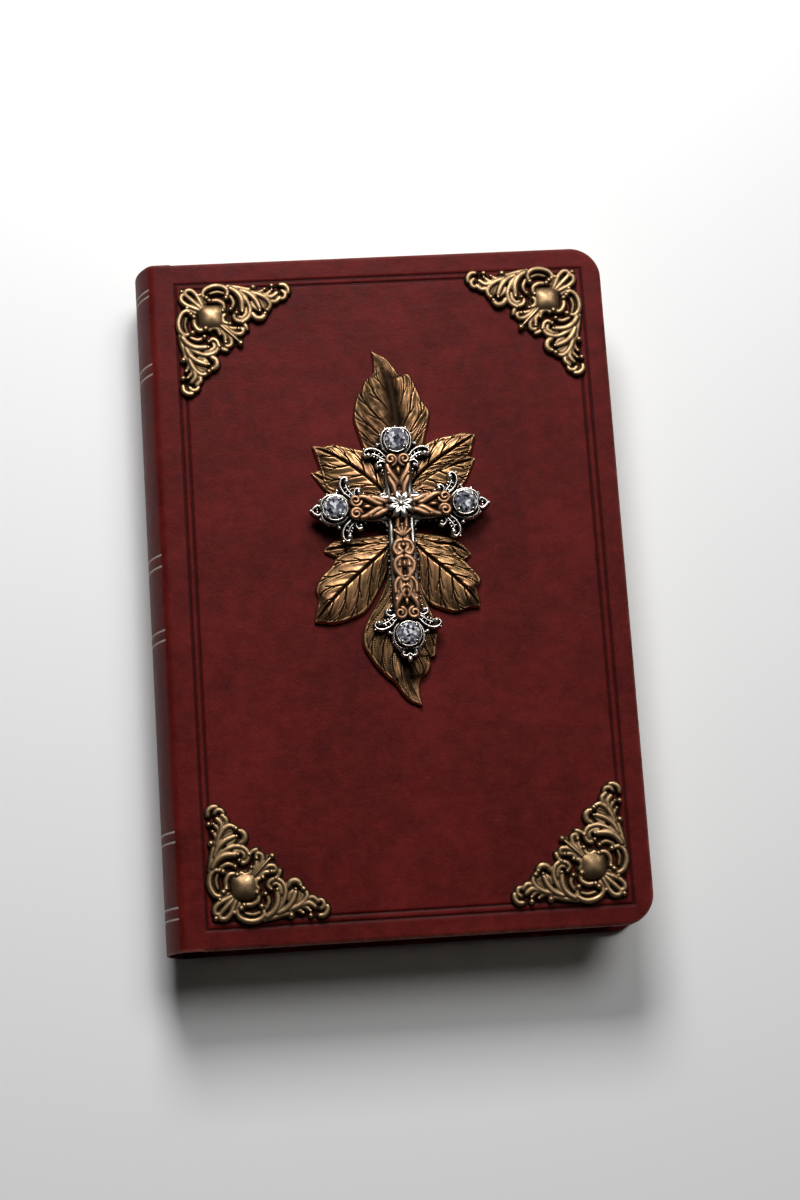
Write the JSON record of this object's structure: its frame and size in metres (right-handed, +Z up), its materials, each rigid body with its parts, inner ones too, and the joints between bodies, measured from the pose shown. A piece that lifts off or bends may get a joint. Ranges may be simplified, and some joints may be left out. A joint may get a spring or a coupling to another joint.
{
  "type": "prayer book",
  "caption": "Closed case-bound prayer book with a rounded spine, fanning sewn sections, a hinged front cover, cast corners, leaf sprays and a jewelled cross.",
  "frame": {"origin": "under the middle of the closed book, on the table it lies on", "axes": "+X from the spine to the fore-edge, +Y from the tail to the head, +Z up out of the front cover"},
  "size_m": [0.145, 0.211, 0.0408],
  "materials": {
    "cover_leather": "fine-grained burgundy imitation leather, satin",
    "grey_board": "matte",
    "endpaper": "matte cream",
    "page_paper": "matte cream",
    "binding_cloth": "open weave",
    "headband_silk": "burgundy and cream stripes",
    "corner_brass": "antiqued, dark in the hollows",
    "leaf_bronze": "antiqued bronze, dark in the veins",
    "overlay_copper": "antiqued copper",
    "cross_silver": "antiqued silver, dark in the hollows",
    "crystal": "faceted, clear with a blue cast"
  },
  "bodies": {
    "root": {"back_cover_skin": "cover_leather", "back_cover_board": "grey_board", "back_pastedown": "endpaper", "back_flyleaf": "endpaper"},
    "spine": {"spine_skin": "cover_leather", "spine_inlay": "grey_board", "spine_mull": "binding_cloth", "sewing_tapes": "binding_cloth", "head_band": "headband_silk", "tail_band": "headband_silk"},
    "section_01": {"section_01": "page_paper"},
    "section_02": {"section_02": "page_paper"},
    "section_03": {"section_03": "page_paper"},
    "section_04": {"section_04": "page_paper"},
    "section_05": {"section_05": "page_paper"},
    "section_06": {"section_06": "page_paper"},
    "section_07": {"section_07": "page_paper"},
    "section_08": {"section_08": "page_paper"},
    "section_09": {"section_09": "page_paper"},
    "section_10": {"section_10": "page_paper"},
    "front_flyleaf": {"front_flyleaf": "endpaper"},
    "front_cover": {"front_cover_skin": "cover_leather", "front_cover_board": "grey_board", "front_pastedown": "endpaper", "corner_head_spine": "corner_brass", "corner_head_fore": "corner_brass", "corner_tail_spine": "corner_brass", "corner_tail_fore": "corner_brass", "leaf_spray_upper": "leaf_bronze", "leaf_spray_lower": "leaf_bronze", "cross_base": "cross_silver", "cross_overlay": "overlay_copper", "cross_flower": "cross_silver", "crystal_cup_top": "cross_silver", "crystal_cup_left": "cross_silver", "crystal_cup_right": "cross_silver", "crystal_cup_bottom": "cross_silver", "crystal_top": "crystal", "crystal_left": "crystal", "crystal_right": "crystal", "crystal_bottom": "crystal"}
  },
  "joints": [
    {"name": "spine_lean", "type": "hinge", "parent": "root", "child": "spine", "pos_m": [-0.0675, 0, 0], "axis": [0, -1, 0], "range_deg": [0, 60]},
    {"name": "front_cover_hinge", "type": "hinge", "parent": "spine", "child": "front_cover", "pos_m": [-0.0675, 0, 0.03], "axis": [0, -1, 0], "range_deg": [0, 120]},
    {"name": "front_flyleaf_turn", "type": "hinge", "parent": "spine", "child": "front_flyleaf", "pos_m": [-0.066, 0, 0.02665], "axis": [0, -1, 0], "range_deg": [0, 54]},
    {"name": "section_01_turn", "type": "hinge", "parent": "spine", "child": "section_01", "pos_m": [-0.066, 0, 0.00474], "axis": [0, -1, 0], "range_deg": [-54.55, 0]},
    {"name": "section_02_turn", "type": "hinge", "parent": "spine", "child": "section_02", "pos_m": [-0.066, 0, 0.00702], "axis": [0, -1, 0], "range_deg": [-49.09, 0]},
    {"name": "section_03_turn", "type": "hinge", "parent": "spine", "child": "section_03", "pos_m": [-0.066, 0, 0.0093], "axis": [0, -1, 0], "range_deg": [-43.64, 0]},
    {"name": "section_04_turn", "type": "hinge", "parent": "spine", "child": "section_04", "pos_m": [-0.066, 0, 0.01158], "axis": [0, -1, 0], "range_deg": [-38.18, 0]},
    {"name": "section_05_turn", "type": "hinge", "parent": "spine", "child": "section_05", "pos_m": [-0.066, 0, 0.01386], "axis": [0, -1, 0], "range_deg": [-32.73, 0]},
    {"name": "section_06_turn", "type": "hinge", "parent": "spine", "child": "section_06", "pos_m": [-0.066, 0, 0.01614], "axis": [0, -1, 0], "range_deg": [-27.27, 0]},
    {"name": "section_07_turn", "type": "hinge", "parent": "spine", "child": "section_07", "pos_m": [-0.066, 0, 0.01842], "axis": [0, -1, 0], "range_deg": [-21.82, 0]},
    {"name": "section_08_turn", "type": "hinge", "parent": "spine", "child": "section_08", "pos_m": [-0.066, 0, 0.0207], "axis": [0, -1, 0], "range_deg": [-16.36, 0]},
    {"name": "section_09_turn", "type": "hinge", "parent": "spine", "child": "section_09", "pos_m": [-0.066, 0, 0.02298], "axis": [0, -1, 0], "range_deg": [-10.91, 0]},
    {"name": "section_10_turn", "type": "hinge", "parent": "spine", "child": "section_10", "pos_m": [-0.066, 0, 0.02526], "axis": [0, -1, 0], "range_deg": [-5.46, 0]}
  ],
  "couplings": [
    {"joint": "front_flyleaf_turn", "follows": "front_cover_hinge", "ratio": 0.45},
    {"joint": "section_01_turn", "follows": "spine_lean", "ratio": -0.90909},
    {"joint": "section_02_turn", "follows": "spine_lean", "ratio": -0.81818},
    {"joint": "section_03_turn", "follows": "spine_lean", "ratio": -0.72727},
    {"joint": "section_04_turn", "follows": "spine_lean", "ratio": -0.63636},
    {"joint": "section_05_turn", "follows": "spine_lean", "ratio": -0.54546},
    {"joint": "section_06_turn", "follows": "spine_lean", "ratio": -0.45454},
    {"joint": "section_07_turn", "follows": "spine_lean", "ratio": -0.36364},
    {"joint": "section_08_turn", "follows": "spine_lean", "ratio": -0.27273},
    {"joint": "section_09_turn", "follows": "spine_lean", "ratio": -0.18182},
    {"joint": "section_10_turn", "follows": "spine_lean", "ratio": -0.090909}
  ]
}
